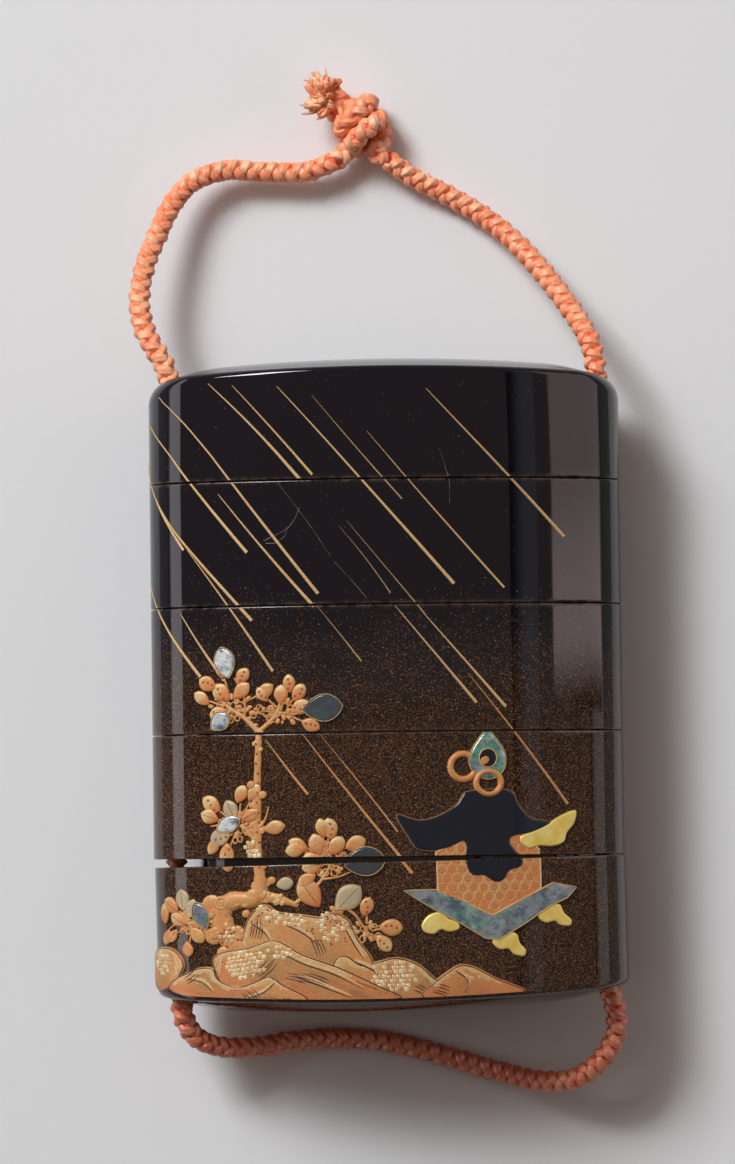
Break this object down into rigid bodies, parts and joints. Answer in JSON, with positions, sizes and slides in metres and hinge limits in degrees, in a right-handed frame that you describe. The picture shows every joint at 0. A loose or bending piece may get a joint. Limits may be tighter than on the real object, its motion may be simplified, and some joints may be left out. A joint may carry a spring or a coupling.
{
  "type": "inro case",
  "caption": "Lacquered inro of stacked oval cases under a lift-off lid, strung on a silk cord that runs through its narrow ends and closes in a knot, lying on its back.",
  "frame": {"origin": "on the surface that the case lies on, under the middle of the closed case; the cord and its knot are left out of that middle", "axes": "+Y runs up the case from the bottom case to the lid, +Z points out of the decorated front, away from the surface that it lies on, +X runs across the case to the right as the front is seen with the lid up"},
  "size_m": [0.0585, 0.1242, 0.0237],
  "materials": {
    "black_lacquer": "polished black urushi lacquer over thin wood",
    "speckled_lacquer": "brown-black lacquer with fine gold flakes, polished",
    "silk_cord": "braided coral-orange silk, slightly faded",
    "gold_lacquer": "raised gold lacquer picture, satin",
    "pale_gold": "pale and yellow gold foil pieces, satin",
    "shell_inlay": "blue-green mother of pearl inlay, polished"
  },
  "bodies": {
    "root": {"lid": "black_lacquer", "case_1": "black_lacquer", "case_2": "black_lacquer", "case_3": "speckled_lacquer", "case_4": "speckled_lacquer", "cord": "silk_cord", "knot": "silk_cord"}
  },
  "joints": []
}
